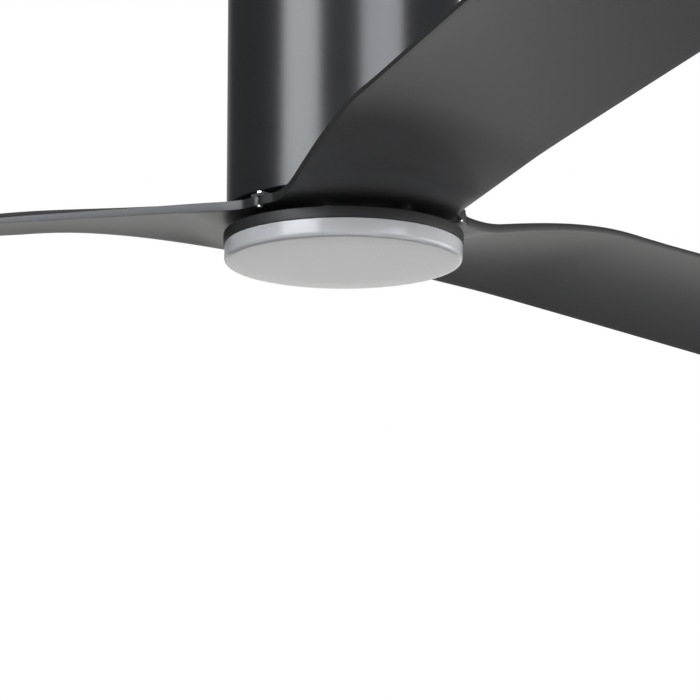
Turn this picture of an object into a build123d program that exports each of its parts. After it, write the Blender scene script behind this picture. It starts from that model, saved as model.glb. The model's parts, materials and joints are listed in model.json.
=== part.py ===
# Low-profile ceiling fan with a fixed light under three turning blades.
# Millimetres, +Z up. The origin is on the fan's axis in the ceiling plane; the whole fan hangs below z = 0.
import math
import os

from build123d import *

os.makedirs("parts", exist_ok=True)

# Housing and ceiling fixing
housingRadius = 93.4
housingWall = 1.6
housingTop = -1.0
housingBottom = -200.0
lipRadius = 87.5
bracketThickness = 2.5
bracketRadius = 86.0
cableHoleRadius = 28.0
slotSpacingX = 88.0
slotSpacingY = 100.0
slotLength = 16.0
slotRadius = 2.75
tabAngles = (90, 210, 330)
tabWidth = 26.0
tabDrop = 24.0
housingScrewZ = -14.0

# Motor hanger and motor plate
legAngles = (30, 150, 270)
legRadius = 60.0
legWidth = 24.0
legThickness = 3.0
hangerRing = (36.0, 60.0)
plateTop = -108.0
plateThickness = 3.0
plateRadius = 70.0

# Fixed hollow shaft
shaftRadius = 8.5
shaftBore = 5.5
shaftTop = -92.0
shoulderZ = -217.0
threadRadius = 7.0
shaftBottom = -225.8
collarRadius = 15.0
collarFlange = 28.0
flangeThickness = 4.0
setScrewZ = -98.0
setScrewTip = 7.9
windowTop = -129.4
windowBottom = -142.0

# Ball bearings, size 6203
bearingOuter = 20.0
bearingWidth = 12.0
upperBearingZ = -122.0
lowerBearingZ = -192.0
ballCircle = 14.25
ballRadius = 3.3
ballCount = 8
grooveRadius = 3.37
innerShoulder = 12.0
outerShoulder = 16.6
circlipThickness = 1.2

# Stator
coreTop = -150.0
coreBottom = -178.0
coreOuter = 65.8
slotCount = 18
toothWidth = 7.0
coilThickness = 2.3
coilHeadroom = 4.0
coilInner = 38.0
coilOuter = 60.0
hubRadius = 20.0
ringRadius = 34.0
sheetThickness = 1.0

# Rotor
magnetCount = 16
magnetInner = 66.5
yokeInner = 70.0
yokeOuter = 74.0
rotorOuter = 78.0
splitZ = -160.0
bellTop = -124.0
rotorBottom = -205.5
rotorLugCircle = 80.5
bladeSeamReach = 98.0
seamTabThickness = 2.4
seamScrewRadius = 95.2
seamShank = 1.2
seamNotchStart = 92.0
seamNotchWidth = 3.0

# Blades
bladeCount = 3
firstBladeAngle = 166.8
bladeTip = 660.0
bladeLower = -212.8
hubThickness = 7.3
tipThickness = 3.9
taperLength = 230.0
trailingOffset = 73.1
leadingOffset = 73.1
rootArcRadius = 72.0
hubHole = 40.0
hubReach = 98.6
seamGap = 1.0
flatReach = 85.0
bendHalf = 12.0
riseLength = 195.0
riseHeight = 27.9
twistSlope = 0.027
camberStart = 89.0
camberLength = 55.0
camberHeight = 8.6
droopStart = 240.0
droopSlope = 0.03
tipCornerRadius = 55.0
bladeScrewCircle = 60.0
bladeScrewSpread = 32.0
blankHalfChord = 90.0
blankStep = 24.5
blankStations = 25

# Wiring in the upper bay
receiverHalfWidth = 35.0
receiverFront = 36.0
receiverBack = 68.0
receiverTop = -80.0
receiverWall = 1.8
receiverInset = 4.5
terminalRadius = 46.0
terminalAngle = 330.0
terminalPitch = 12.0
leadRadius = 1.2
leadExitY = 44.0
motorLeadX = 2.2
lampLeadX = -2.2

# Light
panRadius = 95.8
panTop = -219.0
panBottom = -228.0
panWall = 1.5
diffuserRadius = 95.0
diffuserTop = -228.3
diffuserBottom = -243.0
diffuserWall = 2.2
diffuserEdge = 4.0
rimInner = 90.3
rimOuter = 92.7
lugAngles = (20, 140, 260)
lugRadius = 66.0
panScrewRadius = 30.0
trayTop = -227.3
trayThickness = 1.2
boardThickness = 1.6
plugTop = -227.0
socketTop = trayTop - trayThickness - boardThickness


def standing(radius, height):
    """A cylinder standing on z = 0."""
    return Cylinder(radius, height, align=(Align.CENTER, Align.CENTER, Align.MIN))


def ring(outer, inner, top, bottom):
    """An upright tube between two heights."""
    body = Pos(0, 0, bottom) * standing(outer, top - bottom)
    if inner > 0:
        body -= Pos(0, 0, bottom - 1) * standing(inner, top - bottom + 2)
    return body


def around(item, radius, angle, height=0.0):
    """Place an item at a radius and an angle, its own +X pointing outward."""
    return Rot(0, 0, angle) * Pos(radius, 0, height) * item


def box(x0, x1, y0, y1, z0, z1):
    return Pos((x0 + x1) / 2, (y0 + y1) / 2, (z0 + z1) / 2) * Box(x1 - x0, y1 - y0, z1 - z0)


def revolved(points):
    """Turn an outline in the radius and height plane about the fan's axis."""
    face = make_face(Polyline(*[(r, 0, z) for r, z in points], close=True))
    return revolve(face, Axis.Z, 360)


def polar(radius, angle):
    turn = math.radians(angle)
    return radius * math.cos(turn), radius * math.sin(turn)


def screw(radius, length, headRadius, headHeight):
    """A pan-head screw pointing up, with the underside of its head at z = 0."""
    shank = standing(radius, length)
    head = Pos(0, 0, -headHeight) * standing(headRadius, headHeight)
    head = chamfer(head.edges().group_by(Axis.Z)[0], headHeight * 0.3)
    recess = Pos(0, 0, -headHeight) * (Box(headRadius * 1.1, 0.9, 2.4) + Box(0.9, headRadius * 1.1, 2.4))
    return shank + head - recess


def nut(flats, thickness, bore):
    """A hexagon nut standing on z = 0."""
    outline = RegularPolygon(flats / 2, 6, major_radius=False)
    return extrude(outline, thickness) - Cylinder(bore, thickness * 3)


def joined(pieces):
    return Compound(children=[solid for piece in pieces for solid in piece.solids()])


def save(name, shape):
    export_step(shape, f"parts/{name}.step")


# Ceiling bracket: a flat pressed disc with three tabs that the housing screws to
def ceilingBracket():
    inner = housingRadius - housingWall - 0.1
    plate = ring(bracketRadius, cableHoleRadius, 0, -bracketThickness)
    for sx in (-1, 1):
        for sy in (-1, 1):
            slot = extrude(SlotOverall(slotLength, slotRadius * 2), 3 * bracketThickness, both=True)
            plate -= Pos(sx * slotSpacingX / 2, sy * slotSpacingY / 2, 0) * slot
    for angle in legAngles:
        plate -= around(Cylinder(2.5, 20), (hangerRing[0] + hangerRing[1]) / 2, angle)
    band = ring(inner, inner - bracketThickness, 0, -tabDrop) + ring(inner, 70, 0, -bracketThickness)
    for angle in tabAngles:
        tab = band & (Rot(0, 0, angle) * box(60, 100, -tabWidth / 2, tabWidth / 2, -tabDrop, 0))
        tab -= around(Rot(0, 90, 0) * Cylinder(2.0, 20), inner, angle, housingScrewZ)
        plate += tab
    return plate


def motorHanger():
    top = -bracketThickness
    frame = ring(hangerRing[1], hangerRing[0], top, top - legThickness)
    for angle in legAngles:
        half = legWidth / 2
        arm = box(hangerRing[1] - 8, legRadius + legThickness, -half, half, top - legThickness, top)
        leg = box(legRadius, legRadius + legThickness, -half, half, plateTop, top)
        foot = box(44, legRadius + legThickness, -half, half, plateTop, plateTop + legThickness)
        foot -= Pos(52, 0, plateTop) * Cylinder(2.75, 20)
        frame += Rot(0, 0, angle) * (arm + leg + foot)
        frame -= around(Cylinder(3.0, 20), (hangerRing[0] + hangerRing[1]) / 2, angle, top)
    return frame


def motorPlate():
    plate = ring(plateRadius, shaftRadius + 0.1, plateTop, plateTop - plateThickness)
    for angle in legAngles:
        plate -= around(Cylinder(2.75, 20), 52, angle, plateTop)
        plate -= around(Cylinder(2.5, 20), 22, angle + 60, plateTop)
    for angle in (0, 60, 120, 180, 240, 300):
        plate -= around(Cylinder(5.0, 20), 62, angle + 12, plateTop)
    return plate


def housingShell():
    inner = housingRadius - housingWall
    outline = [
        (inner, housingTop),
        (housingRadius, housingTop),
        (housingRadius, housingBottom + 1.2),
        (housingRadius - 1.2, housingBottom),
        (lipRadius, housingBottom),
        (lipRadius, housingBottom + housingWall),
        (inner, housingBottom + housingWall),
    ]
    shell = revolved(outline)
    for angle in tabAngles:
        shell -= around(Rot(0, 90, 0) * Cylinder(2.3, 20), housingRadius, angle, housingScrewZ)
    return shell


def housingScrews():
    sideways = Rot(0, -90, 0) * screw(1.95, 8, 3.8, 2.4)
    return joined([around(sideways, housingRadius + 0.05, angle, housingScrewZ) for angle in tabAngles])


def hangerBolts():
    bolt = screw(2.45, legThickness + bracketThickness - 0.3, 5.2, 3.6)
    middle = (hangerRing[0] + hangerRing[1]) / 2
    return joined([around(bolt, middle, angle, -bracketThickness - legThickness) for angle in legAngles])


def plateScrews():
    bolt = screw(2.5, plateThickness + legThickness + 6, 5.0, 3.2)
    return joined([around(bolt, 52, angle, plateTop - plateThickness) for angle in legAngles])


def plateNuts():
    piece = nut(8.0, 4.0, 2.5)
    return joined([around(piece, 52, angle, plateTop + legThickness) for angle in legAngles])


# Shaft group
def shaftCollar():
    collar = ring(collarFlange, shaftRadius, plateTop + flangeThickness, plateTop)
    collar += ring(collarRadius, shaftRadius, shaftTop - 1, plateTop)
    for angle in legAngles:
        collar -= around(Rot(0, 90, 0) * Cylinder(2.45, 12), collarRadius - 2, angle, setScrewZ)
        collar -= around(Cylinder(2.5, 30), 22, angle + 60, plateTop)
    return collar


def collarScrews():
    bolt = Rot(180, 0, 0) * screw(2.45, flangeThickness + plateThickness + 2, 4.6, 3.0)
    return joined([around(bolt, 22, angle + 60, plateTop + flangeThickness) for angle in legAngles])


def setScrews():
    pieces = []
    for angle in legAngles:
        grub = standing(2.4, collarRadius - setScrewTip)
        grub -= Pos(0, 0, collarRadius - setScrewTip) * extrude(RegularPolygon(1.25, 6), 2.5, both=True)
        pieces.append(around(Rot(0, 90, 0) * grub, setScrewTip, angle, setScrewZ))
    return joined(pieces)


def motorShaft():
    shaft = ring(shaftRadius, shaftBore, shaftTop, shoulderZ)
    shaft += ring(threadRadius, shaftBore, shoulderZ, shaftBottom)
    for height in circlipHeights():
        shaft -= ring(shaftRadius + 2, shaftRadius - 0.5, height, height - circlipThickness)
    for angle in legAngles:
        shaft -= around(Rot(0, 90, 0) * Cylinder(2.45, 4), setScrewTip + 2, angle, setScrewZ)
    shaft -= box(3.4, 10, -2.4, 2.4, windowBottom, windowTop)
    return shaft


def circlipHeights():
    return (upperBearingZ - bearingWidth / 2, lowerBearingZ - bearingWidth / 2)


def shaftCirclips():
    clips = []
    for height in circlipHeights():
        clip = ring(11.2, shaftRadius - 0.5, height, height - circlipThickness)
        clip -= Pos(0, -10, height) * Box(3.0, 10, 6)
        clips.append(clip)
    return joined(clips)


# Ball bearings
def innerRace(z):
    race = ring(innerShoulder, shaftRadius, z + bearingWidth / 2, z - bearingWidth / 2)
    return race - Pos(0, 0, z) * Torus(ballCircle, grooveRadius)


def outerRace(z):
    race = ring(bearingOuter, outerShoulder, z + bearingWidth / 2, z - bearingWidth / 2)
    return race - Pos(0, 0, z) * Torus(ballCircle, grooveRadius)


def ballSet(z):
    ball = Sphere(ballRadius)
    return joined([around(ball, ballCircle, index * 360 / ballCount, z) for index in range(ballCount)])


def ballCage(z):
    cage = ring(15.3, 13.2, z + 4.2, z - 4.2)
    for index in range(ballCount):
        pocket = Rot(0, 90, 0) * Cylinder(ballRadius + 0.15, 8)
        cage -= around(pocket, ballCircle, index * 360 / ballCount, z)
    return cage


def bearingSeals():
    seals = []
    for z in (upperBearingZ, lowerBearingZ):
        for side in (-1, 1):
            edge = z + side * bearingWidth / 2
            inside = edge - side * 1.1
            seals.append(ring(outerShoulder, innerShoulder + 0.35, max(edge, inside), min(edge, inside)))
    return joined(seals)


# Stator group
def toothAngles():
    return [index * 360 / slotCount for index in range(slotCount)]


def statorHub():
    hub = ring(hubRadius, shaftRadius, coreTop, coreBottom)
    for index in range(6):
        hub -= around(Cylinder(2.6, 80), 14.5, index * 60 + 30, (coreTop + coreBottom) / 2)
    return hub


def statorCore():
    core = ring(ringRadius, hubRadius, coreTop, coreBottom)
    tipInner = coreOuter - 3.4
    tips = ring(coreOuter, tipInner, coreTop, coreBottom)
    slotOpening = 3.0
    half = toothWidth / 2
    for angle in toothAngles():
        core += Rot(0, 0, angle) * box(ringRadius - 1, tipInner + 0.8, -half, half, coreBottom, coreTop)
        between = angle + 180 / slotCount
        mouth = box(55, 75, -slotOpening / 2, slotOpening / 2, coreBottom - 1, coreTop + 1)
        tips -= Rot(0, 0, between) * mouth
    return core + tips


def insulatorSheet(z):
    sheet = ring(ringRadius, hubRadius + 2, z + sheetThickness, z)
    half = toothWidth / 2
    for angle in toothAngles():
        sheet += Rot(0, 0, angle) * box(ringRadius - 1, coilOuter + 1, -half, half, z, z + sheetThickness)
    return sheet


def statorInsulators():
    return joined([insulatorSheet(coreTop), insulatorSheet(coreBottom - sheetThickness)])


def statorWindings():
    innerHalf = toothWidth / 2 + 0.3
    outerHalf = innerHalf + coilThickness
    low = coreBottom - sheetThickness
    high = coreTop + sheetThickness
    coil = box(coilInner, coilOuter, -outerHalf, outerHalf, low - coilHeadroom, high + coilHeadroom)
    coil = fillet(coil.edges().filter_by(Axis.X), coilThickness - 0.3)
    coil -= box(coilInner - 1, coilOuter + 1, -innerHalf, innerHalf, low, high)
    return joined([Rot(0, 0, angle) * coil for angle in toothAngles()])


def statorBoard():
    return ring(hubRadius, 10.5, coreTop + boardThickness, coreTop)


# Rotor group
def lugRing(top, bottom, bore):
    lugs = []
    for index in range(6):
        lug = standing(4.8, top - bottom) - Cylinder(bore, 60)
        lugs.append(around(lug, rotorLugCircle, index * 60 + 30, bottom))
    return lugs


def rotorBell():
    outline = [
        (outerShoulder + 0.4, upperBearingZ + 8),
        (26, upperBearingZ + 8),
        (27.5, bellTop),
        (70, bellTop),
        (rotorOuter, bellTop - 7),
        (rotorOuter, splitZ),
        (yokeOuter, splitZ),
        (yokeOuter, bellTop - 9),
        (68, bellTop - 4),
        (26, bellTop - 4),
        (bearingOuter, bellTop - 4),
        (bearingOuter, upperBearingZ + 6),
        (outerShoulder + 0.4, upperBearingZ + 6),
    ]
    bell = revolved(outline)
    bell += lugRing(splitZ + 9, splitZ, 2.2)
    bell -= ring(yokeOuter, 0, splitZ + 10, splitZ - 2) - ring(30, 0, splitZ + 11, splitZ - 3)
    for index in range(6):
        bell -= around(Cylinder(2.2, 20), rotorLugCircle, index * 60 + 30, splitZ + 4)
        bell -= around(Cylinder(4.0, 8), rotorLugCircle, index * 60 + 30, splitZ + 13)
        vent = extrude(SlotOverall(26, 9), 10, both=True)
        bell -= around(vent, 48, index * 60, bellTop)
    return bell


def rotorBase():
    outline = [
        (yokeOuter, splitZ),
        (rotorOuter, splitZ),
        (rotorOuter, rotorBottom + 6),
        (80, rotorBottom + 5),
        (80, rotorBottom + 1),
        (79, rotorBottom),
        (outerShoulder - 1, rotorBottom),
        (outerShoulder - 1, lowerBearingZ - 6),
        (bearingOuter, lowerBearingZ - 6),
        (bearingOuter, lowerBearingZ + 7),
        (26, lowerBearingZ + 7),
        (27.5, rotorBottom + 5.5),
        (yokeOuter, rotorBottom + 5.5),
    ]
    base = revolved(outline)
    base += lugRing(splitZ, splitZ - 9, 1.95)
    base -= ring(yokeOuter, 0, splitZ + 1, splitZ - 10) - ring(30, 0, splitZ + 2, splitZ - 11)
    for index in range(6):
        base -= around(Cylinder(1.95, 20), rotorLugCircle, index * 60 + 30, splitZ - 6)
    for angle in bladeAngles():
        tab = box(70, bladeSeamReach, -7, 7, rotorBottom, rotorBottom + seamTabThickness)
        base += Rot(0, 0, angle + 60) * (tab - Pos(seamScrewRadius, 0, rotorBottom) * Cylinder(1.5, 9))
        for x, y in bladeScrewPlaces():
            base -= Rot(0, 0, angle) * Pos(x, y, rotorBottom) * Cylinder(2.5, 9)
    return base


def rotorScrews():
    bolt = Rot(180, 0, 0) * screw(1.9, 16, 3.6, 2.4)
    return joined([around(bolt, rotorLugCircle, index * 60 + 30, splitZ + 9) for index in range(6)])


def rotorYoke():
    return ring(yokeOuter, yokeInner, coreTop + 8, coreBottom - 8)


def rotorMagnets():
    band = ring(yokeInner, magnetInner, coreTop + 4, coreBottom - 4)
    span = 360 / magnetCount
    magnets = []
    for index in range(magnetCount):
        wedge = Rot(0, 0, index * span) * sectorPrism(80, span - 2.5, coreTop + 5, coreBottom - 5)
        magnets.append(band & wedge)
    return joined(magnets)


def sectorPrism(radius, span, top, bottom):
    """A wedge of a disc, centred on +X, between two heights."""
    half = span / 2
    middle = (radius, 0)
    start = polar(radius, -half)
    end = polar(radius, half)
    edge = Line((0, 0), start) + ThreePointArc(start, middle, end) + Line(end, (0, 0))
    return Pos(0, 0, bottom) * extrude(make_face(edge), top - bottom)


# Blades
def bladeAngles():
    return [firstBladeAngle + index * 360 / bladeCount for index in range(bladeCount)]


def bladeScrewPlaces():
    return [(bladeScrewCircle, spread) for spread in (0, bladeScrewSpread, -bladeScrewSpread)]


def bladeSection(u):
    """Cross-section of the blade blank at radius u: a cambered strip, its leading side raised."""
    bend = flatReach + bendHalf
    lift = min(max(u - flatReach, 0), 2 * bendHalf) ** 2 / (4 * bendHalf) + max(u - bend - bendHalf, 0)
    rise = riseHeight * math.sin(min(lift / riseLength, 1) * math.pi / 2)
    rise += twistSlope * max(lift - riseLength, 0)
    swell = min(max((u - camberStart) / camberLength, 0), 1)
    camber = camberHeight * swell * swell * (3 - 2 * swell)
    droop = droopSlope * max(u - droopStart, 0) ** 2 / (abs(u - droopStart) + 40)
    settle = min(max((u - bend) / taperLength, 0), 1)
    thickness = hubThickness + (tipThickness - hubThickness) * settle
    steps = 8
    lower = []
    upper = []
    for index in range(steps + 1):
        side = 1 - 2 * index / steps
        v = side * blankHalfChord
        across = (trailingOffset - v) / (trailingOffset + leadingOffset)
        bulge = 4 * across * (1 - across)
        z = bladeLower + rise * across + camber * bulge - droop
        lower.append(Vector(u, v, z))
        upper.append(Vector(u, v, z + thickness))
    edges = [
        Spline(*lower),
        Line(lower[-1], upper[-1]),
        Spline(*reversed(upper)),
        Line(upper[0], lower[0]),
    ]
    return make_face(Wire(edges))


def bladeBlank():
    stations = [flatReach + blankStep * index for index in range(blankStations)]
    root = box(10, flatReach, -110, 110, bladeLower, bladeLower + hubThickness)
    return root + loft([bladeSection(u) for u in stations])


def bladePlan():
    """Plan outline: a straight blade that widens into a 120 degree root sector through two concave arcs."""
    tail = trailingOffset
    lead = -leadingOffset
    corner = tipCornerRadius
    tangent = rootTangent()
    seamTail = polar(seamRadius(), 60)
    seamLead = polar(seamRadius(), -60)
    centre = (tangent, tail + rootArcRadius)
    middleTurn = (270 + math.degrees(math.atan2(seamTail[1] - centre[1], seamTail[0] - centre[0])) % 360) / 2
    middle = (centre[0] + rootArcRadius * math.cos(math.radians(middleTurn)),
              centre[1] + rootArcRadius * math.sin(math.radians(middleTurn)))
    cut = corner * (1 - math.sqrt(0.5))
    tip = [
        Line((tangent, tail), (bladeTip - corner, tail)),
        ThreePointArc((bladeTip - corner, tail), (bladeTip - cut, tail - cut), (bladeTip, tail - corner)),
        Line((bladeTip, tail - corner), (bladeTip, lead + corner)),
        ThreePointArc((bladeTip, lead + corner), (bladeTip - cut, lead + cut), (bladeTip - corner, lead)),
        Line((bladeTip - corner, lead), (tangent, lead)),
    ]
    innerTail = polar(hubHole, 60)
    innerLead = polar(hubHole, -60)
    root = [
        ThreePointArc((tangent, lead), (middle[0], -middle[1]), seamLead),
        Line(seamLead, innerLead),
        ThreePointArc(innerLead, (hubHole, 0), innerTail),
        Line(innerTail, seamTail),
        ThreePointArc(seamTail, middle, (tangent, tail)),
    ]
    return make_face(Wire(tip + root))


def cornerRadius():
    """Where the straight edges of two neighbouring blades would meet."""
    return trailingOffset / math.sin(math.radians(60))


def rootTangent():
    return cornerRadius() * math.cos(math.radians(60)) + rootArcRadius * math.tan(math.radians(30))


def seamRadius():
    return cornerRadius() + rootArcRadius * (1 / math.cos(math.radians(30)) - 1)


def blade():
    prism = Pos(0, 0, -260) * extrude(bladePlan(), 120)
    prism += sectorPrism(hubReach, 120, -140, -260) - Pos(0, 0, -200) * Cylinder(hubHole, 200)
    body = bladeBlank() & prism
    for side in (-1, 1):
        gap = Rot(0, 0, side * 60) * box(20, 120, -seamGap / 2, seamGap / 2, -260, -140)
        body -= gap
        half = seamNotchWidth / 2
        body -= Rot(0, 0, side * 60) * box(seamNotchStart, 120, -half, half, -260, -140)
    for x, y in bladeScrewPlaces():
        body -= Pos(x, y, bladeLower) * Cylinder(2.8, 40)
    return body


def seamScrews():
    """Small screws in the seams between neighbouring blades, each with a nut on the rotor's tab."""
    bolt = screw(seamShank, hubThickness + seamTabThickness + 2, 2.6, 1.4)
    bolt += Pos(0, 0, hubThickness + seamTabThickness) * nut(5.0, 1.6, seamShank)
    return joined([around(bolt, seamScrewRadius, angle + 60, bladeLower) for angle in bladeAngles()])


def bladeScrews():
    bolt = screw(2.4, hubThickness + 5, 4.6, 2.4)
    pieces = []
    for angle in bladeAngles():
        for x, y in bladeScrewPlaces():
            pieces.append(Rot(0, 0, angle) * Pos(x, y, bladeLower - 0.8) * bolt)
    return joined(pieces)


def bladeWashers():
    washer = ring(5.6, 2.5, 0, -0.8)
    pieces = []
    for angle in bladeAngles():
        for x, y in bladeScrewPlaces():
            pieces.append(Rot(0, 0, angle) * Pos(x, y, bladeLower) * washer)
    return joined(pieces)


# Receiver and terminal block
def receiverCase():
    x = receiverHalfWidth
    inset = receiverWall
    case = box(-x, x, receiverFront, receiverBack, plateTop, receiverTop)
    case = fillet(case.edges().filter_by(Axis.Z), 3)
    front = receiverFront + inset
    back = receiverBack - inset
    case -= box(-x + inset, x - inset, front, back, plateTop + inset, receiverTop + 1)
    for cx, cy in receiverPosts():
        case += Pos(cx, cy, plateTop) * standing(2.6, receiverTop - plateTop)
        case -= Pos(cx, cy, receiverTop) * Cylinder(1.2, 24)
    return case


def receiverPosts():
    x = receiverHalfWidth - receiverInset
    depths = (receiverFront + receiverInset, receiverBack - receiverInset)
    return [(side * x, y) for side in (-1, 1) for y in depths]


def receiverLid():
    x = receiverHalfWidth
    lid = box(-x, x, receiverFront, receiverBack, receiverTop, receiverTop + 2)
    lid = fillet(lid.edges().filter_by(Axis.Z), 3)
    for cx, cy in receiverPosts():
        lid -= Pos(cx, cy, receiverTop) * Cylinder(1.5, 10)
    for lead in (motorLeadX, lampLeadX):
        lid -= Pos(lead, leadExitY, receiverTop) * Cylinder(leadRadius + 0.3, 10)
    return lid


def receiverBoard():
    gap = receiverWall + 0.6
    x = receiverHalfWidth - gap
    z = plateTop + 6
    board = box(-x, x, receiverFront + gap, receiverBack - gap, z, z + boardThickness)
    for cx, cy in receiverPosts():
        board -= Pos(cx, cy, z) * Cylinder(3.0, 10)
    for index, height in enumerate((12, 9, 14)):
        board += Pos(-18 + index * 14, 56, z + boardThickness) * standing(4.2, height)
    return board


def receiverScrews():
    bolt = Rot(180, 0, 0) * screw(1.15, 9, 2.4, 1.6)
    return joined([Pos(cx, cy, receiverTop + 2) * bolt for cx, cy in receiverPosts()])


def terminalRow():
    return (-terminalPitch, 0, terminalPitch)


def terminalBlock():
    block = box(-7, 7, -1.5 * terminalPitch, 1.5 * terminalPitch, plateTop, plateTop + 16)
    for y in terminalRow():
        block -= Pos(0, y, plateTop + 12) * Cylinder(2.6, 10)
        block -= Pos(0, y, plateTop + 6) * Rot(0, 90, 0) * Cylinder(2.2, 30)
    return around(block, terminalRadius, terminalAngle)


def terminalScrews():
    pieces = []
    for y in terminalRow():
        head = Pos(0, y, plateTop + 8.4) * standing(2.4, 3.4)
        head -= Pos(0, y, plateTop + 11.8) * Box(6, 0.8, 1.6)
        pieces.append(around(head, terminalRadius, terminalAngle))
    return joined(pieces)


def bentTube(points, name):
    """A tube along straight runs joined by tangent arcs as large as the runs allow."""
    route = [Vector(*point) for point in points]
    radii = []
    for before, corner, after in zip(route, route[1:], route[2:]):
        turn = (corner - before).get_angle(after - corner)
        run = min((corner - before).length, (after - corner).length)
        radii.append(0.45 * run / math.tan(math.radians(turn / 2)))
    path = FilletPolyline(*route, radius=radii)
    print(name, "bend radii", [round(radius, 1) for radius in radii])
    start = Plane(origin=route[0], z_dir=route[1] - route[0])
    tube = sweep(start * Circle(leadRadius), path=path)
    expected = math.pi * leadRadius**2 * path.length
    print(name, "length", round(path.length, 1), "volume ratio", round(tube.volume / expected, 4))
    return tube


def leadLoop(x, top):
    """The start of a lead: out of the receiver lid, over the collar and into the shaft's bore."""
    start = receiverTop - 6
    return [
        (x, leadExitY, start),
        (x, leadExitY, start + 22),
        (x, leadExitY - 16, top),
        (x, leadExitY - 38, top - 8),
        (x, 0, top - 32),
    ]


def motorLead():
    route = leadLoop(motorLeadX, -46) + [
        (motorLeadX, 0, -129.0),
        (motorLeadX + 11.2, 0, -140.6),
        (motorLeadX + 11.2, 0, coreTop + boardThickness),
    ]
    return bentTube(route, "motor_lead")


def lampLead():
    route = leadLoop(lampLeadX, -50) + [(lampLeadX, 0, plugTop)]
    return bentTube(route, "lamp_lead")


# Light
def lightCarrier():
    plate = ring(40, threadRadius, shoulderZ, shoulderZ - 2)
    for angle in lugAngles:
        plate -= around(Cylinder(1.95, 10), panScrewRadius, angle, shoulderZ)
    return plate


def carrierWasher():
    return ring(13, threadRadius, shoulderZ - 2, shoulderZ - 3.2)


def carrierNut():
    return Pos(0, 0, shoulderZ - 8.2) * nut(22, 5, threadRadius)


def lightPan():
    outline = [
        (16, panTop),
        (panRadius - 1, panTop),
        (panRadius, panTop - 1),
        (panRadius, panBottom),
        (panRadius - panWall, panBottom),
        (panRadius - panWall, panTop - panWall),
        (16, panTop - panWall),
    ]
    pan = revolved(outline)
    pegBand = ring(panRadius - panWall + 0.5, 91.2, panTop - 4.2, panTop - 6.0)
    for angle in lugAngles:
        pan += pegBand & (Rot(0, 0, angle) * sectorPrism(110, 7, panTop, panBottom))
        pan -= around(Cylinder(2.1, 10), panScrewRadius, angle, panTop)
        pan -= around(Cylinder(1.2, 10), lugRadius, angle, panTop)
    return pan


def panScrews():
    bolt = screw(1.9, 3.4, 3.6, 2.2)
    return joined([around(bolt, panScrewRadius, angle, panTop - panWall) for angle in lugAngles])


def ledTray():
    tray = ring(86, 20, trayTop, trayTop - trayThickness)
    for angle in lugAngles:
        tray += around(standing(4, panTop - panWall - trayTop), lugRadius, angle, trayTop)
        tray -= around(Cylinder(1.6, 30), lugRadius, angle, trayTop)
    return tray


def ledBoard():
    top = trayTop - trayThickness
    board = ring(80, 0, top, top - boardThickness)
    for angle in lugAngles:
        board -= around(Cylinder(1.6, 10), lugRadius, angle, top)
    board -= Pos(lampLeadX, 0, top) * Box(9.4, 7.4, 10)
    return board


def ledChips():
    chip = Box(3.0, 3.0, 0.7)
    z = socketTop - 0.35
    pieces = []
    for radius, count in ((34, 10), (54, 16), (73, 22)):
        for index in range(count):
            pieces.append(around(chip, radius, (index + 0.5) * 360 / count, z))
    return joined(pieces)


def ledScrews():
    bolt = screw(1.15, 10.5, 2.6, 1.4)
    return joined([around(bolt, lugRadius, angle, socketTop) for angle in lugAngles])


def lampSocket():
    socket = box(lampLeadX - 6, lampLeadX + 6, -5, 5, socketTop - 7.5, socketTop)
    socket -= box(lampLeadX - 4.3, lampLeadX + 4.3, -3.3, 3.3, socketTop - 6, socketTop + 1)
    return socket


def lampPlug():
    plug = box(lampLeadX - 4, lampLeadX + 4, -3, 3, socketTop - 5.5, plugTop)
    return fillet(plug.edges().filter_by(Axis.Z), 0.8)


def diffuser():
    outer = diffuserRadius
    inner = outer - diffuserWall
    edge = diffuserEdge
    rimTop = panTop - 2.6
    low = diffuserBottom
    cut = edge * (1 - math.sqrt(0.5))
    lowIn = low + diffuserWall
    inEdge = edge - diffuserWall
    cutIn = inEdge * (1 - math.sqrt(0.5))
    profile = [
        Line((rimInner, rimTop), (rimOuter, rimTop)),
        Line((rimOuter, rimTop), (rimOuter, diffuserTop)),
        Line((rimOuter, diffuserTop), (outer, diffuserTop)),
        Line((outer, diffuserTop), (outer, low + edge)),
        ThreePointArc((outer, low + edge), (outer - cut, low + cut), (outer - edge, low)),
        Line((outer - edge, low), (0, low)),
        Line((0, low), (0, lowIn)),
        Line((0, lowIn), (outer - edge, lowIn)),
        ThreePointArc((outer - edge, lowIn), (inner - cutIn, lowIn + cutIn), (inner, low + edge)),
        Line((inner, low + edge), (inner, diffuserTop - 2)),
        Line((inner, diffuserTop - 2), (rimInner, diffuserTop - 4)),
        Line((rimInner, diffuserTop - 4), (rimInner, rimTop)),
    ]
    face = make_face(Wire(profile))
    cup = revolve(Plane.XZ * face, Axis.Z, 360)
    slotBand = ring(93.5, 89, panTop - 3.8, panTop - 6.4)
    entryBand = ring(93.5, 89, panTop, panTop - 6.4)
    for angle in lugAngles:
        cup -= slotBand & (Rot(0, 0, angle + 9) * sectorPrism(110, 28, panTop + 5, panBottom))
        cup -= entryBand & (Rot(0, 0, angle + 18.5) * sectorPrism(110, 9, panTop + 5, panBottom))
    return cup


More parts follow.
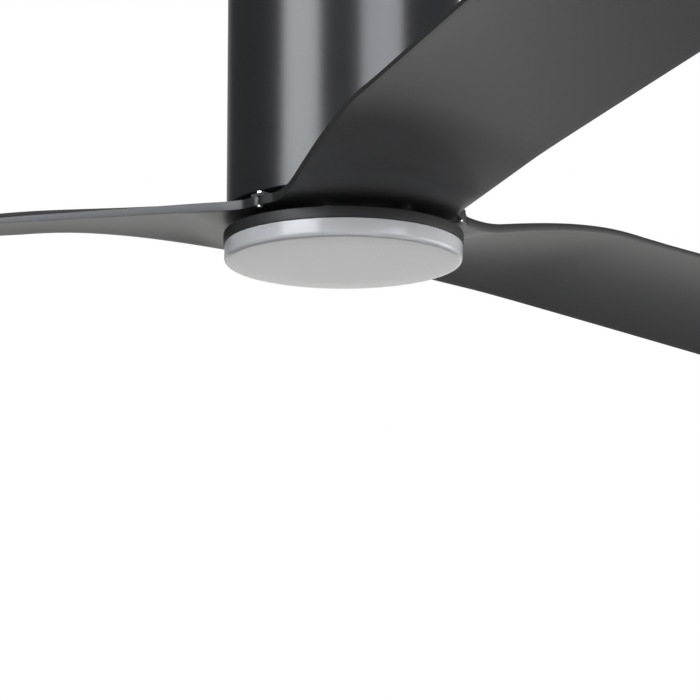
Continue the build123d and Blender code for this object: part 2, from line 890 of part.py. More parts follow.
builders = dict(
    ceiling_bracket=ceilingBracket,
    motor_hanger=motorHanger,
    hanger_bolts=hangerBolts,
    motor_plate=motorPlate,
    plate_screws=plateScrews,
    plate_nuts=plateNuts,
    housing_shell=housingShell,
    housing_screws=housingScrews,
    shaft_collar=shaftCollar,
    collar_screws=collarScrews,
    collar_set_screws=setScrews,
    motor_shaft=motorShaft,
    shaft_circlips=shaftCirclips,
    bearing_seals=bearingSeals,
    stator_hub=statorHub,
    stator_core=statorCore,
    stator_insulators=statorInsulators,
    stator_windings=statorWindings,
    stator_board=statorBoard,
    rotor_bell=rotorBell,
    rotor_base=rotorBase,
    rotor_screws=rotorScrews,
    rotor_yoke=rotorYoke,
    rotor_magnets=rotorMagnets,
    blade_screws=bladeScrews,
    seam_screws=seamScrews,
    blade_washers=bladeWashers,
    receiver_case=receiverCase,
    receiver_lid=receiverLid,
    receiver_board=receiverBoard,
    receiver_screws=receiverScrews,
    terminal_block=terminalBlock,
    terminal_screws=terminalScrews,
    motor_lead=motorLead,
    lamp_lead=lampLead,
    light_carrier=lightCarrier,
    carrier_washer=carrierWasher,
    carrier_nut=carrierNut,
    light_pan=lightPan,
    pan_screws=panScrews,
    led_tray=ledTray,
    led_board=ledBoard,
    led_chips=ledChips,
    led_screws=ledScrews,
    lamp_socket=lampSocket,
    lamp_plug=lampPlug,
    diffuser=diffuser,
)

for name, builder in builders.items():
    save(name, builder())

for place, z in (("upper", upperBearingZ), ("lower", lowerBearingZ)):
    save(place + "_bearing_inner", innerRace(z))
    save(place + "_bearing_outer", outerRace(z))
    save(place + "_bearing_balls", ballSet(z))
    save(place + "_bearing_cage", ballCage(z))

oneBlade = blade()
for index, angle in enumerate(bladeAngles()):
    save(f"blade_{index + 1}", Rot(0, 0, angle) * oneBlade)
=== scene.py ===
import json
import math

import bmesh
import bpy
from mathutils import Matrix, Vector


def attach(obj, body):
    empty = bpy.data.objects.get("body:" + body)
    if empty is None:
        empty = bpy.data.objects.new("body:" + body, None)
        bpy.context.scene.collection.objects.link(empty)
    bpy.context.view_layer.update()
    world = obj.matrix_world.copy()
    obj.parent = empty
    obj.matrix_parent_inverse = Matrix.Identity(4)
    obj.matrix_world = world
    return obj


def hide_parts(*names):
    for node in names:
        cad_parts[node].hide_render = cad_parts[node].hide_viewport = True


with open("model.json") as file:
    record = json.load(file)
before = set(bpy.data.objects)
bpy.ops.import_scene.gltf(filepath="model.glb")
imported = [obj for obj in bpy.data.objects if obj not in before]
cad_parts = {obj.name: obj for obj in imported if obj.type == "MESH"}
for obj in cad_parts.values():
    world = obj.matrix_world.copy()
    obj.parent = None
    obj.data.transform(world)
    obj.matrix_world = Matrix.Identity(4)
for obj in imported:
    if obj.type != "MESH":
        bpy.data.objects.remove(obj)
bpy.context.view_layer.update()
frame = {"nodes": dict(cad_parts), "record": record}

scene = bpy.context.scene
mm = 0.001


# helpers for the meshes

def newMesh(name, bm, sharpAngle=35):
    mesh = bpy.data.meshes.new(name)
    bm.to_mesh(mesh)
    bm.free()
    for face in mesh.polygons:
        face.use_smooth = True
    mesh.set_sharp_from_angle(angle=math.radians(sharpAngle))
    piece = bpy.data.objects.new(name, mesh)
    scene.collection.objects.link(piece)
    return piece


def roundEdges(bm, edges, radius, segments):
    bmesh.ops.bevel(bm, geom=edges, offset=radius, offset_type="OFFSET", segments=segments, profile=0.5,
                    affect="EDGES", material=-1, clamp_overlap=True)


def ringEdges(bm, radius, height):
    near = 0.02 * mm
    found = []
    for edge in bm.edges:
        if all(abs(v.co.xy.length - radius) < near and abs(v.co.z - height) < near for v in edge.verts):
            found.append(edge)
    return found


def turned(outline, rounds, steps=192, closed=True):
    # outline: radius and height in mm, rounds: corner number -> radius in mm
    bm = bmesh.new()
    verts = [bm.verts.new((r * mm, 0, z * mm)) for r, z in outline]
    pairs = list(zip(verts, verts[1:])) + ([(verts[-1], verts[0])] if closed else [])
    edges = [bm.edges.new(pair) for pair in pairs]
    bmesh.ops.spin(bm, geom=verts + edges, cent=(0, 0, 0), axis=(0, 0, 1), dvec=(0, 0, 0),
                   angle=math.tau, steps=steps, use_merge=True, use_duplicate=False)
    bmesh.ops.remove_doubles(bm, verts=bm.verts, dist=0.001 * mm)
    bmesh.ops.recalc_face_normals(bm, faces=bm.faces)
    for corner, radius in rounds.items():
        r, z = outline[corner]
        roundEdges(bm, ringEdges(bm, r * mm, z * mm), radius * mm, 5)
    return bm


# helpers for the materials

class Socket:
    def __init__(self, finish, out):
        self.finish = finish
        self.out = out

    def reckon(self, operation, first, second):
        return self.finish.add("ShaderNodeMath", {"operation": operation}, {0: first, 1: second})

    def __add__(self, other):
        return self.reckon("ADD", self, other)

    def __radd__(self, other):
        return self.reckon("ADD", other, self)

    def __sub__(self, other):
        return self.reckon("SUBTRACT", self, other)

    def __rsub__(self, other):
        return self.reckon("SUBTRACT", other, self)

    def __mul__(self, other):
        return self.reckon("MULTIPLY", self, other)

    def __rmul__(self, other):
        return self.reckon("MULTIPLY", other, self)


class Finish:
    def __init__(self, name):
        self.material = bpy.data.materials.new(name)
        self.material.use_nodes = True
        self.tree = self.material.node_tree
        self.tree.nodes.clear()

    def add(self, kind, settings=None, values=None, output=0):
        node = self.tree.nodes.new(kind)
        for key, value in (settings or {}).items():
            setattr(node, key, value)
        for key, value in (values or {}).items():
            if isinstance(value, Socket):
                self.tree.links.new(value.out, node.inputs[key])
            else:
                node.inputs[key].default_value = value
        return Socket(self, node.outputs[output]) if node.outputs else node

    def place(self, scale=(1, 1, 1), turn=(0, 0, 0)):
        where = self.add("ShaderNodeTexCoord", output="Object")
        return self.add("ShaderNodeMapping", {}, {"Vector": where, "Scale": scale, "Rotation": turn})

    def noise(self, scale, detail, stretch=(1, 1, 1)):
        values = {"Vector": self.place(stretch), "Scale": scale, "Detail": detail, "Roughness": 0.5}
        return self.add("ShaderNodeTexNoise", {}, values)

    def ramp(self, factor, low, high):
        # 0 below low and 1 above high
        values = {"Value": factor, "From Min": low, "From Max": high}
        return self.add("ShaderNodeMapRange", {"clamp": True}, values)

    def blend(self, factor, first, second):
        return self.add("ShaderNodeMix", {"data_type": "RGBA"}, {0: factor, 6: first, 7: second}, 2)

    def bump(self, height, distance, strength):
        return self.add("ShaderNodeBump", {}, {"Height": height, "Distance": distance, "Strength": strength})

    def surface(self, **values):
        names = {key: key.replace("_", " ") for key in values}
        shader = self.add("ShaderNodeBsdfPrincipled", {}, {names[key]: values[key] for key in values})
        self.add("ShaderNodeOutputMaterial", {}, {"Surface": shader})
        return self.material


def grey(value, tint=(1, 1, 1)):
    return (value * tint[0], value * tint[1], value * tint[2], 1)


# finishes, one for each material slot

def housingPaint():
    look = {"colour": 0.009, "dark": 0.85, "light": 1.15, "roughness": 0.25, "uneven": 0.05, "ior": 1.5,
            "cloud": 9, "peel": 700, "peelDepth": 0.00002, "peelStrength": 0.35}
    f = Finish("housingPaint")
    cloud = f.noise(look["cloud"], 3)
    peel = f.noise(look["peel"], 2)
    dark = grey(look["colour"] * look["dark"], (0.98, 1, 1.12))
    light = grey(look["colour"] * look["light"], (0.98, 1.01, 1.15))
    rough = look["roughness"] + (cloud - 0.5) * look["uneven"] + (peel - 0.5) * look["uneven"]
    return f.surface(Base_Color=f.blend(cloud, dark, light), Roughness=rough, IOR=look["ior"],
                     Normal=f.bump(peel, look["peelDepth"], look["peelStrength"]))


def bladePlastic():
    look = {"colour": 0.008, "dark": 0.88, "light": 1.12, "roughness": 0.4, "ior": 1.48,
            "flow": 5, "flowUneven": 0.08, "grain": 2600, "grainUneven": 0.1,
            "grainDepth": 0.00003, "grainStrength": 0.5}
    f = Finish("bladePlastic")
    flow = f.noise(look["flow"], 3, (0.35, 0.35, 1))
    grain = f.noise(look["grain"], 2)
    dark = grey(look["colour"] * look["dark"], (1, 1, 0.985))
    light = grey(look["colour"] * look["light"], (1, 1.005, 0.99))
    rough = look["roughness"] + (flow - 0.5) * look["flowUneven"] + (grain - 0.5) * look["grainUneven"]
    return f.surface(Base_Color=f.blend(flow, dark, light), Roughness=rough, IOR=look["ior"],
                     Normal=f.bump(grain, look["grainDepth"], look["grainStrength"]))


def panPaint():
    look = {"colour": 0.009, "dark": 0.85, "light": 1.2, "roughness": 0.5, "uneven": 0.12, "ior": 1.4,
            "cloud": 14, "grain": 1400, "grainDepth": 0.00003, "grainStrength": 0.4}
    f = Finish("panPaint")
    cloud = f.noise(look["cloud"], 3)
    grain = f.noise(look["grain"], 2)
    dark = grey(look["colour"] * look["dark"])
    light = grey(look["colour"] * look["light"], (1, 1, 0.98))
    rough = look["roughness"] + (grain - 0.5) * look["uneven"]
    return f.surface(Base_Color=f.blend(cloud, dark, light), Roughness=rough, IOR=look["ior"],
                     Normal=f.bump(grain, look["grainDepth"], look["grainStrength"]))


def opalPlastic():
    look = {"colour": 0.29, "dark": 0.985, "light": 1.01, "roughness": 0.17, "uneven": 0.04, "ior": 1.45,
            "depth": 0.005, "cloud": 11, "speck": 900, "speckDepth": 0.00001, "speckStrength": 0.3}
    f = Finish("opalPlastic")
    cloud = f.noise(look["cloud"], 2)
    speck = f.noise(look["speck"], 2)
    dark = grey(look["colour"] * look["dark"], (0.99, 1, 1.01))
    light = grey(look["colour"] * look["light"], (1, 1, 1.005))
    rough = look["roughness"] + (speck - 0.5) * look["uneven"]
    # light spreads inside the milky plastic by the same depth in every colour
    return f.surface(Base_Color=f.blend(cloud, dark, light), Roughness=rough, IOR=look["ior"],
                     Subsurface_Weight=1, Subsurface_Scale=look["depth"], Subsurface_Radius=(1, 1, 1),
                     Normal=f.bump(speck, look["speckDepth"], look["speckStrength"]))


def sheetSteel():
    look = {"dark": 0.42, "light": 0.56, "roughness": 0.32, "spangleUneven": 0.12, "rolledUneven": 0.1,
            "spangle": 160, "rolled": 90, "rolledDepth": 0.00003, "rolledStrength": 0.4}
    f = Finish("sheetSteel")
    cells = {"Vector": f.place(), "Scale": look["spangle"]}
    spangle = f.add("ShaderNodeTexVoronoi", {"feature": "F1"}, cells, "Color")
    patch = f.add("ShaderNodeSeparateColor", {}, {"Color": spangle})
    rolled = f.noise(look["rolled"], 4, (12, 1, 1))
    colour = f.blend(patch, grey(look["dark"], (1, 1.01, 1.04)), grey(look["light"], (1, 1.01, 1.03)))
    rough = look["roughness"] + patch * look["spangleUneven"] + (rolled - 0.5) * look["rolledUneven"]
    return f.surface(Base_Color=colour, Metallic=1.0, Roughness=rough,
                     Normal=f.bump(rolled, look["rolledDepth"], look["rolledStrength"]))


def platedSteel():
    look = {"dark": 0.5, "light": 0.66, "roughness": 0.24, "uneven": 0.14, "haze": 240, "grain": 1800}
    f = Finish("platedSteel")
    haze = f.noise(look["haze"], 3)
    colour = f.blend(haze, grey(look["dark"], (1, 1, 1.03)), grey(look["light"], (1, 0.99, 0.95)))
    return f.surface(Base_Color=colour, Metallic=1.0, Roughness=look["roughness"] + haze * look["uneven"],
                     Normal=f.bump(f.noise(look["grain"], 2), 0.00002, 0.4))


def blackSteel():
    look = {"dark": 0.018, "light": 0.035, "metal": 0.6, "roughness": 0.36, "uneven": 0.14, "haze": 300,
            "grain": 1600}
    f = Finish("blackSteel")
    haze = f.noise(look["haze"], 3)
    colour = f.blend(haze, grey(look["dark"]), grey(look["light"], (1, 1, 1.05)))
    rough = look["roughness"] + haze * look["uneven"]
    return f.surface(Base_Color=colour, Metallic=look["metal"], Roughness=rough,
                     Normal=f.bump(f.noise(look["grain"], 2), 0.00002, 0.4))


def groundSteel():
    look = {"dark": 0.55, "light": 0.72, "roughness": 0.14, "uneven": 0.12, "marks": 60}
    f = Finish("groundSteel")
    marks = f.noise(look["marks"], 3, (1, 1, 60))
    colour = f.blend(marks, grey(look["dark"], (1, 1, 1.02)), grey(look["light"]))
    return f.surface(Base_Color=colour, Metallic=1.0, Roughness=look["roughness"] + marks * look["uneven"],
                     Normal=f.bump(marks, 0.00001, 0.5))


def castAluminium(name, dark, light, metal):
    look = {"roughness": 0.42, "uneven": 0.2, "skin": 420, "stain": 16}
    f = Finish(name)
    skin = f.noise(look["skin"], 4)
    stain = f.noise(look["stain"], 3)
    colour = f.blend(stain, grey(dark, (1, 1, 1.02)), grey(light))
    return f.surface(Base_Color=colour, Metallic=metal, Roughness=look["roughness"] + skin * look["uneven"],
                     Normal=f.bump(skin, 0.00008, 0.6))


def laminations():
    look = {"dark": 0.06, "light": 0.24, "metal": 0.8, "roughness": 0.38, "uneven": 0.2, "sheets": 318.0,
            "burr": 500}
    f = Finish("laminations")
    stacked = {"Vector": f.place(), "Scale": look["sheets"]}
    sheets = f.add("ShaderNodeTexWave", {"bands_direction": "Z"}, stacked)
    burr = f.noise(look["burr"], 3)
    colour = f.blend(sheets, grey(look["dark"], (1, 0.98, 0.95)), grey(look["light"], (1, 1, 1.02)))
    rough = look["roughness"] + burr * look["uneven"]
    return f.surface(Base_Color=colour, Metallic=look["metal"], Roughness=rough,
                     Normal=f.bump(sheets + burr * 0.2, 0.00012, 0.8))


def magnetWire():
    # the base colour holds painted shade in the grooves between the wire's turns and a painted highlight on
    # each turn's crest
    look = {"between": (0.20, 0.045, 0.015, 1), "paintedHighlightCrest": (0.62, 0.22, 0.075, 1), "metal": 0.55, "coat": 0.3,
            "roughness": 0.26, "uneven": 0.16, "turns": 420.0, "varnish": 120}
    f = Finish("magnetWire")
    wound = {"Vector": f.place(), "Scale": look["turns"], "Distortion": 1.2, "Detail": 1.0}
    turns = f.add("ShaderNodeTexWave", {"bands_direction": "DIAGONAL"}, wound)
    varnish = f.noise(look["varnish"], 3)
    rough = look["roughness"] + varnish * look["uneven"]
    # painted shade between the turns, painted highlight on their crests
    return f.surface(Base_Color=f.blend(turns, look["between"], look["paintedHighlightCrest"]), Metallic=look["metal"],
                     Roughness=rough, Coat_Weight=look["coat"], Normal=f.bump(turns, 0.00025, 0.9))


def ferrite():
    look = {"dark": 0.03, "light": 0.075, "roughness": 0.5, "uneven": 0.2, "grain": 900}
    f = Finish("ferrite")
    grain = f.noise(look["grain"], 4)
    colour = f.blend(grain, grey(look["dark"]), grey(look["light"], (1, 1, 1.03)))
    return f.surface(Base_Color=colour, Roughness=look["roughness"] + grain * look["uneven"],
                     Normal=f.bump(grain, 0.00005, 0.6))


def mouldedPlastic(name, dark, light, roughness):
    look = {"uneven": 0.15, "flow": 40, "grain": 1500}
    f = Finish(name)
    flow = f.noise(look["flow"], 2)
    grain = f.noise(look["grain"], 2)
    colour = f.blend(flow, grey(dark), grey(light, (1, 0.995, 0.97)))
    return f.surface(Base_Color=colour, Roughness=roughness + grain * look["uneven"],
                     Normal=f.bump(grain, 0.00003, 0.5))


def circuitBoard(name, mask, copper):
    look = {"solder": (0.5, 0.48, 0.42, 1), "roughness": 0.3, "tracks": 90.0, "trackWidth": 0.035,
            "trackTurn": 0.6, "pads": 220, "padEdge": 0.16, "padFull": 0.12}
    f = Finish(name)
    black = (0, 0, 0, 1)
    lines = {"Vector": f.place((1, 1, 0.01), (0, 0, look["trackTurn"])), "Scale": look["tracks"],
             "Mortar Size": look["trackWidth"], "Color1": black, "Color2": black, "Mortar": (1, 1, 1, 1)}
    tracks = f.add("ShaderNodeTexBrick", {"offset": 0.5, "squash": 0.6}, lines)
    spots = {"Vector": f.place(), "Scale": look["pads"]}
    pads = f.add("ShaderNodeTexVoronoi", {"feature": "F1"}, spots, "Distance")
    dots = f.ramp(pads, look["padEdge"], look["padFull"])
    colour = f.blend(dots, f.blend(tracks, mask, copper), look["solder"])
    return f.surface(Base_Color=colour, Roughness=look["roughness"], Normal=f.bump(tracks, 0.00004, 0.6))


def phosphor():
    look = {"dark": (0.85, 0.62, 0.12, 1), "light": (0.95, 0.78, 0.24, 1), "roughness": 0.22, "uneven": 0.1,
            "gel": 1500}
    f = Finish("phosphor")
    gel = f.noise(look["gel"], 2)
    return f.surface(Base_Color=f.blend(gel, look["dark"], look["light"]),
                     Roughness=look["roughness"] + gel * look["uneven"], Normal=f.bump(gel, 0.00004, 0.5))


def rubber(name, dark, light):
    look = {"roughness": 0.55, "uneven": 0.2, "bloom": 180, "grain": 1400}
    f = Finish(name)
    bloom = f.noise(look["bloom"], 3)
    return f.surface(Base_Color=f.blend(bloom, grey(dark), grey(light)),
                     Roughness=look["roughness"] + bloom * look["uneven"],
                     Normal=f.bump(f.noise(look["grain"], 2), 0.00004, 0.5))


finishes = {
    "housing_coat": housingPaint(),
    "blade_plastic": bladePlastic(),
    "pan_coat": panPaint(),
    "opal_plastic": opalPlastic(),
    "zinc_steel": sheetSteel(),
    "screw_steel": platedSteel(),
    "black_screw": blackSteel(),
    "bearing_steel": groundSteel(),
    "cast_aluminium": castAluminium("castAluminium", 0.42, 0.58, 1.0),
    "dark_aluminium": castAluminium("darkAluminium", 0.016, 0.028, 0.2),
    "core_steel": laminations(),
    "copper_wire": magnetWire(),
    "magnet_ferrite": ferrite(),
    "white_plastic": mouldedPlastic("whitePlastic", 0.62, 0.7, 0.38),
    "black_plastic": mouldedPlastic("blackPlastic", 0.02, 0.03, 0.42),
    "board_green": circuitBoard("greenBoard", (0.012, 0.11, 0.04, 1), (0.03, 0.2, 0.08, 1)),
    "board_white": circuitBoard("whiteBoard", (0.74, 0.74, 0.72, 1), (0.66, 0.66, 0.64, 1)),
    "led_resin": phosphor(),
    "seal_rubber": rubber("sealRubber", 0.02, 0.035),
    "lead_sleeve": rubber("leadSleeve", 0.03, 0.05),
}

slotOf = {part["node"]: part["material_slot"] for part in frame["record"]["subparts"]}
for node, piece in frame["nodes"].items():
    piece.data.materials.clear()
    piece.data.materials.append(finishes[slotOf[node]])
print("finishes ready", len(finishes))


def dress(piece, node, body):
    piece.data.materials.append(finishes[slotOf[node]])
    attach(piece, body)
    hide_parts(node)


# blades

blade = {
    "firstAngle": 166.8,
    "count": 3,
    "rootSpan": 120,
    "tip": 660.0,
    "halfChord": 73.1,
    "hubHole": 40.0,
    "arcRadius": 72.0,
    "lower": -212.8,
    "hubThickness": 7.3,
    "tipThickness": 3.9,
    "taperLength": 230.0,
    "flatReach": 85.0,
    "bendHalf": 12.0,
    "riseLength": 195.0,
    "riseHeight": 27.9,
    "twistSlope": 0.027,
    "camberStart": 89.0,
    "camberLength": 55.0,
    "camber": 8.6,
    "droopStart": 240.0,
    "droopSlope": 0.03,
    "droopEase": 40,
    "tipCorner": 55.0,
    "hubReach": 98.6,
    "seamGap": 0.5,
    "notchStart": 91.0,
    "notchSlope": 2.5,
    "notchGap": 1.5,
    "upperRound": 1.5,
    "lowerRound": 0.7,
    "settle": 50,
    "settleMiddle": 22,
    "hubRows": 5,
    "arcRows": 16,
    "settleRows": 9,
    "spanRows": 44,
    "tipRows": 10,
    "columns": 36,
    "rimAngle": 55,
}


def bladeThickness(u):
    settle = min(max((u - blade["flatReach"] - blade["bendHalf"]) / blade["taperLength"], 0), 1)
    return blade["hubThickness"] + (blade["tipThickness"] - blade["hubThickness"]) * settle


def bladeHeight(u, v):
    bend = 2 * blade["bendHalf"]
    past = u - blade["flatReach"]
    lift = min(max(past, 0), bend) ** 2 / (2 * bend) + max(past - bend, 0)
    rise = blade["riseHeight"] * math.sin(min(lift / blade["riseLength"], 1) * math.pi / 2)
    rise += blade["twistSlope"] * max(lift - blade["riseLength"], 0)
    swell = min(max((u - blade["camberStart"]) / blade["camberLength"], 0), 1)
    camber = blade["camber"] * swell * swell * (3 - 2 * swell)
    beyond = max(u - blade["droopStart"], 0)
    droop = blade["droopSlope"] * beyond**2 / (beyond + blade["droopEase"])
    across = 0.5 - v / (2 * blade["halfChord"])
    return blade["lower"] + rise * across + camber * 4 * across * (1 - across) - droop


def bladeRows():
    # each row: where its middle crosses the blade's axis, its end point, how straight it is, its seam gap
    half = blade["halfChord"]
    arc = blade["arcRadius"]
    fan = math.radians(blade["rootSpan"] / 2)
    lean = math.radians(90 - blade["rootSpan"] / 2)
    corner = half / math.sin(fan)
    tangent = corner * math.cos(fan) + arc * math.tan(lean)
    seam = corner + arc * (1 / math.cos(lean) - 1)
    settling = tangent + blade["settleMiddle"]
    settled = tangent + blade["settle"]
    shoulder = blade["tip"] - blade["tipCorner"]
    rows = []
    # hub, with the seam's notch at its outer end
    for step in range(blade["hubRows"] + 2):
        r = blade["hubHole"] + (blade["notchStart"] - blade["hubHole"]) * min(step / blade["hubRows"], 1)
        gap = blade["seamGap"]
        if step > blade["hubRows"]:
            r += blade["notchSlope"]
            gap = blade["notchGap"]
        rows.append((r, r * math.cos(fan), r * math.sin(fan), 0, gap))
    # concave arcs, kept outside the hub disc
    for step in range(blade["arcRows"] + 1):
        t = step / blade["arcRows"]
        angle = lean * (1 - t)
        endU = tangent - arc * math.sin(angle)
        endV = half + arc * (1 - math.cos(angle))
        push = max(1, blade["hubReach"] / math.hypot(endU, endV))
        gap = blade["seamGap"] * (1 - t) if step else blade["notchGap"]
        rows.append((seam + (settling - seam) * t, endU * push, endV * push, t, gap))
    # straight part and rounded tip
    for step in range(1, blade["settleRows"] + 1):
        t = step / blade["settleRows"]
        rows.append((settling + (settled - settling) * t, tangent + (settled - tangent) * t, half, 1, 0))
    for step in range(1, blade["spanRows"] + 1):
        u = settled + (shoulder - settled) * step / blade["spanRows"]
        rows.append((u, u, half, 1, 0))
    for step in range(1, blade["tipRows"] + 1):
        angle = math.radians(90 * step / blade["tipRows"])
        u = shoulder + blade["tipCorner"] * math.sin(angle)
        rows.append((u, u, half - blade["tipCorner"] * (1 - math.cos(angle)), 1, 0))
    return rows


def bladePoint(row, side):
    middle, endU, endV, straight, gap = row
    fan = math.radians(blade["rootSpan"] / 2)
    bow = (1 - math.cos(fan * side)) / (1 - math.cos(fan))
    u = middle - (middle - endU) * bow
    v = endV * ((1 - straight) * math.sin(fan * side) / math.sin(fan) + straight * side)
    v -= side * gap
    return u, v


def turnedFaces(bm):
    # underside faces that point up, or top faces that point down
    wrong = 0
    for face in bm.faces:
        spot = face.calc_center_median() / mm
        above = spot.z > bladeHeight(spot.x, spot.y) + bladeThickness(spot.x) / 2
        if abs(face.normal.z) > 0.7 and (face.normal.z > 0) != above:
            wrong += 1
    return wrong


def isUpper(edge):
    middle = (edge.verts[0].co + edge.verts[1].co) / 2 / mm
    return middle.z > bladeHeight(middle.x, middle.y) + bladeThickness(middle.x) / 2


def makeBlade(number):
    rows = bladeRows()
    columns = blade["columns"]
    bm = bmesh.new()
    bmesh.ops.create_grid(bm, x_segments=len(rows) - 1, y_segments=columns, size=1)
    for vert in bm.verts:
        row = rows[round((vert.co.x + 1) / 2 * (len(rows) - 1))]
        u, v = bladePoint(row, vert.co.y)
        vert.co = Vector((u, v, bladeHeight(u, v))) * mm
    bmesh.ops.recalc_face_normals(bm, faces=bm.faces)
    lifted = bmesh.ops.extrude_face_region(bm, geom=list(bm.faces))
    for item in lifted["geom"]:
        if isinstance(item, bmesh.types.BMVert):
            item.co.z += bladeThickness(item.co.x / mm) * mm
    bmesh.ops.recalc_face_normals(bm, faces=bm.faces)
    rim = [edge for edge in bm.edges if edge.calc_face_angle(0) > math.radians(blade["rimAngle"])]
    upper = [edge for edge in rim if isUpper(edge)]
    lower = [edge for edge in rim if edge not in upper]
    roundEdges(bm, upper, blade["upperRound"] * mm, 4)
    roundEdges(bm, [edge for edge in lower if edge.is_valid], blade["lowerRound"] * mm, 3)
    loose = sum(1 for edge in bm.edges if edge.is_boundary)
    print("blade", number + 1, "faces", len(bm.faces), "open edges", loose, "turned", turnedFaces(bm))
    turn = Matrix.Rotation(math.radians(blade["firstAngle"] + number * 360 / blade["count"]), 4, "Z")
    bmesh.ops.transform(bm, matrix=turn, verts=bm.verts)
    return newMesh(f"bladeSkin{number + 1}", bm, sharpAngle=30)


for number in range(blade["count"]):
    dress(makeBlade(number), f"blade_{number + 1}", "rotor")
print("blades made")


# housing shell

housing = {"radius": 93.4, "wall": 1.6, "top": -1.0, "bottom": -200.0, "lip": 87.5, "edge": 1.3, "bands": 4}


def makeHousing():
    inner = housing["radius"] - housing["wall"]
    outline = [(inner, housing["top"]), (housing["radius"], housing["top"])]
    for band in range(1, housing["bands"] + 1):
        outline.append((housing["radius"], housing["bottom"] * band / (housing["bands"] + 1)))
    outline += [
        (housing["radius"], housing["bottom"]),
        (housing["lip"], housing["bottom"]),
        (housing["lip"], housing["bottom"] + housing["wall"]),
        (inner, housing["bottom"] + housing["wall"]),
    ]
    rounds = {0: 0.3, 1: 0.5, 6: housing["edge"], 7: 0.4, 8: 0.4}
    return newMesh("housingSkin", turned(outline, rounds))


dress(makeHousing(), "housing_shell", "fixed")
print("housing made")


# light pan, the ring above the diffuser

pan = {"radius": 95.8, "top": -219.0, "bottom": -228.0, "wall": 1.5, "hole": 16.0}


def makePan():
    inner = pan["radius"] - pan["wall"]
    outline = [
        (pan["hole"], pan["top"]),
        (pan["radius"], pan["top"]),
        (pan["radius"], pan["bottom"]),
        (inner, pan["bottom"]),
        (inner, pan["top"] - pan["wall"]),
        (pan["hole"], pan["top"] - pan["wall"]),
    ]
    bm = turned(outline, {0: 0.4, 1: 0.9, 2: 0.4, 3: 0.3, 5: 0.3})
    return newMesh("panSkin", bm)


dress(makePan(), "light_pan", "fixed")
print("pan made")


# diffuser

bowl = {
    "radius": 95.0,
    "top": -228.3,
    "bottom": -243.0,
    "wall": 2.2,
    "edge": 3.4,
    "crown": 0.7,
    "crownWidth": 34.0,
    "rimInner": 90.3,
    "rimOuter": 92.7,
    "rimTop": -221.6,
    "slotTop": -222.8,
    "slotBottom": -225.4,
    "slotStart": -5,
    "entryStart": 14,
    "slotEnd": 23,
    "lugs": (20, 140, 260),
}


def slotCells(face):
    # a cell of the rim that the pan's pegs slide along or enter by
    spot = face.calc_center_median() / mm
    turn = math.degrees(math.atan2(spot.y, spot.x)) % 120 - bowl["lugs"][0]  # three slots alike
    if not bowl["rimInner"] - 0.5 < spot.xy.length < bowl["rimOuter"] + 0.5:
        return False
    slide = bowl["slotStart"] < turn < bowl["slotEnd"] and bowl["slotBottom"] < spot.z < bowl["slotTop"]
    entry = bowl["entryStart"] < turn < bowl["slotEnd"] and bowl["slotBottom"] < spot.z
    return slide or entry


def bridgeSlot(bm, lug):
    # walls between the inner and outer outline of one slot
    chains = []
    for edge in bm.edges:
        first, second = (vert.co.xy.length for vert in edge.verts)
        turn = math.degrees(math.atan2(edge.verts[0].co.y, edge.verts[0].co.x)) % 360 - lug
        if edge.is_boundary and abs(first - second) < 0.3 * mm and -10 < turn < 30:
            chains.append(edge)
    bmesh.ops.bridge_loops(bm, edges=chains)


def makeDiffuser():
    outer = bowl["radius"]
    inner = outer - bowl["wall"]
    outline = [
        (bowl["rimInner"], bowl["rimTop"]),
        (bowl["rimOuter"], bowl["rimTop"]),
        (bowl["rimOuter"], bowl["slotTop"]),
        (bowl["rimOuter"], bowl["slotBottom"]),
        (bowl["rimOuter"], bowl["top"]),
        (outer, bowl["top"]),
        (outer, bowl["bottom"] + bowl["crown"]),
    ]
    for step in range(1, 7):
        t = step / 6
        outline.append((outer - bowl["crownWidth"] * t, bowl["bottom"] + bowl["crown"] * (1 - t) ** 2))
    outline += [
        (0, bowl["bottom"]),
        (0, bowl["bottom"] + bowl["wall"]),
        (inner, bowl["bottom"] + bowl["wall"]),
        (inner, bowl["top"] - 2),
        (bowl["rimInner"], bowl["top"] - 4),
        (bowl["rimInner"], bowl["slotBottom"]),
        (bowl["rimInner"], bowl["slotTop"]),
    ]
    bm = turned(outline, {5: 0.5, 6: bowl["edge"], 15: 1.2}, 360, False)
    last = [ringEdges(bm, bowl["rimInner"] * mm, bowl[key] * mm) for key in ("slotTop", "rimTop")]
    bmesh.ops.bridge_loops(bm, edges=last[0] + last[1])
    bmesh.ops.remove_doubles(bm, verts=bm.verts, dist=0.001 * mm)
    bmesh.ops.delete(bm, geom=[edge for edge in bm.edges if edge.is_wire], context="EDGES")
    bmesh.ops.delete(bm, geom=[face for face in bm.faces if slotCells(face)], context="FACES")
    for lug in bowl["lugs"]:
        bridgeSlot(bm, lug)
    bmesh.ops.recalc_face_normals(bm, faces=bm.faces)
    loose = sum(1 for edge in bm.edges if not edge.is_manifold)
    print("diffuser faces", len(bm.faces), "open edges", loose)
    return newMesh("diffuserSkin", bm)


dress(makeDiffuser(), "diffuser", "diffuser")
print("diffuser made")


# floor, lights, room and camera

stage = {"floor": -2.45, "size": 14.0, "dark": 0.57, "light": 0.61, "roughness": 0.6, "cloud": 1.5}


def makeFloor():
    bm = bmesh.new()
    bmesh.ops.create_grid(bm, x_segments=4, y_segments=4, size=stage["size"])
    bmesh.ops.translate(bm, vec=(0, 0, stage["floor"]), verts=bm.verts)
    floor = newMesh("stageFloor", bm)
    f = Finish("paleFloor")
    colour = f.blend(f.noise(stage["cloud"], 2), grey(stage["dark"]), grey(stage["light"]))
    floor.data.materials.append(f.surface(Base_Color=colour, Roughness=stage["roughness"]))


makeFloor()

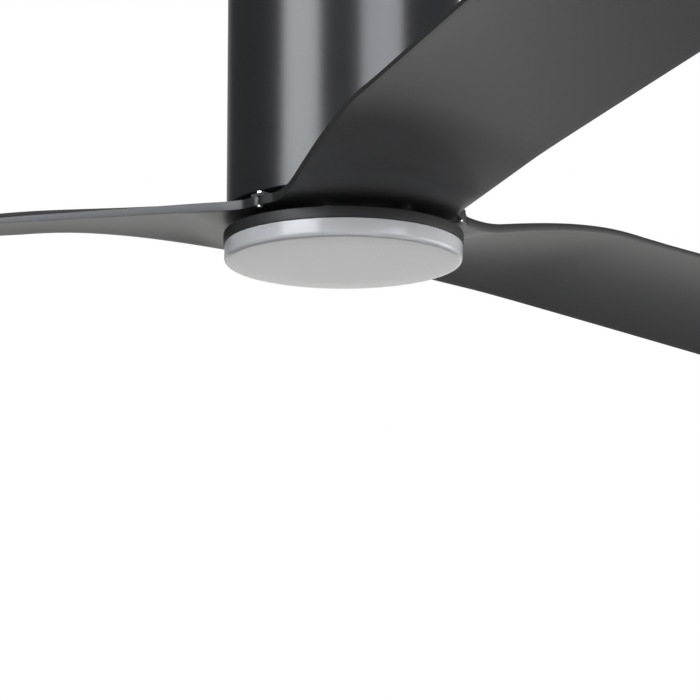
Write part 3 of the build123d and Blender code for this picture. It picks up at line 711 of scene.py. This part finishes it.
# turn: degrees round from the camera's side, aim: height on the fan's axis that the lamp faces
lamps = {
    "leftStrip": {"turn": -42, "reach": 2.6, "height": 0.95, "aim": 0.95, "width": 1.75, "tall": 2.5,
                  "power": 113, "tint": (0.95, 1, 1.04)},
    "rightStrip": {"turn": 38, "reach": 2.6, "height": 0.95, "aim": 0.95, "width": 2.0, "tall": 2.5,
                   "power": 103, "tint": (0.98, 0.99, 1.06)},
    "backCard": {"turn": 180, "reach": 2.6, "height": -0.85, "aim": -0.85, "width": 3.0, "tall": 0.9,
                 "power": 10, "tint": (1, 1, 0.975)},
    "sideFill": {"turn": 100, "reach": 2.4, "height": -0.6, "aim": -0.23, "width": 2.2, "tall": 1.2,
                 "power": 33, "tint": (1, 1, 1.02)},
    "frontFill": {"turn": 18, "reach": 2.6, "height": -0.3, "aim": -0.25, "width": 2.2, "tall": 1.0,
                  "power": 80, "tint": (1, 1, 1.04), "mirrored": False},
}


def makeLamp(name, values):
    light = bpy.data.lights.new(name, "AREA")
    light.shape = "RECTANGLE"
    light.size = values["width"]
    light.size_y = values["tall"]
    light.energy = values["power"]
    light.color = values["tint"]
    lamp = bpy.data.objects.new(name, light)
    turn = math.radians(values["turn"])
    place = Vector((values["reach"] * math.sin(turn), -values["reach"] * math.cos(turn), values["height"]))
    lamp.location = place
    aim = Vector((0, 0, values["aim"])) - place
    lamp.rotation_mode = "QUATERNION"
    lamp.rotation_quaternion = aim.to_track_quat("-Z", "Y")
    lamp.visible_camera = False
    lamp.visible_glossy = values.get("mirrored", True)
    scene.collection.objects.link(lamp)


for name, values in lamps.items():
    makeLamp(name, values)

# dim all round, with a soft bright patch behind the fan between the inner and the outer angle
room = {"around": 0.1, "card": 0.5, "inner": 12, "outer": 38, "seen": 1.0}


def makeRoom():
    world = bpy.data.worlds.new("room")
    world.use_nodes = True
    tree = world.node_tree
    tree.nodes.clear()
    where = tree.nodes.new("ShaderNodeTexCoord")
    split = tree.nodes.new("ShaderNodeSeparateXYZ")
    tree.links.new(where.outputs["Generated"], split.inputs[0])
    fade = tree.nodes.new("ShaderNodeMapRange")
    fade.interpolation_type = "SMOOTHSTEP"
    fade.inputs["From Min"].default_value = math.cos(math.radians(room["outer"]))
    fade.inputs["From Max"].default_value = math.cos(math.radians(room["inner"]))
    fade.inputs["To Min"].default_value = room["around"]
    fade.inputs["To Max"].default_value = room["card"]
    tree.links.new(split.outputs["Y"], fade.inputs["Value"])
    lit = tree.nodes.new("ShaderNodeBackground")
    tree.links.new(fade.outputs[0], lit.inputs["Strength"])
    seen = tree.nodes.new("ShaderNodeBackground")
    seen.inputs["Strength"].default_value = room["seen"]
    path = tree.nodes.new("ShaderNodeLightPath")
    mix = tree.nodes.new("ShaderNodeMixShader")
    tree.links.new(path.outputs["Is Camera Ray"], mix.inputs[0])
    tree.links.new(lit.outputs[0], mix.inputs[1])
    tree.links.new(seen.outputs[0], mix.inputs[2])
    end = tree.nodes.new("ShaderNodeOutputWorld")
    tree.links.new(mix.outputs[0], end.inputs["Surface"])
    for node in (lit, seen):
        node.inputs["Color"].default_value = (1, 1, 1, 1)
    scene.world = world


makeRoom()
scene.view_settings.view_transform = "Standard"

camera = {"place": (-0.0066, -2.8, -0.8999), "pitch": 0.2066, "yaw": -0.0042, "lens": 185.7, "sensor": 36.0,
          "near": 0.05, "far": 100}


def makeCamera():
    data = bpy.data.cameras.new("camera")
    data.lens = camera["lens"]
    data.sensor_width = camera["sensor"]
    data.clip_start = camera["near"]
    data.clip_end = camera["far"]
    item = bpy.data.objects.new("camera", data)
    item.location = camera["place"]
    item.rotation_euler = (math.pi / 2 + camera["pitch"], 0, camera["yaw"])
    scene.collection.objects.link(item)
    scene.camera = item


makeCamera()
print("stage ready")
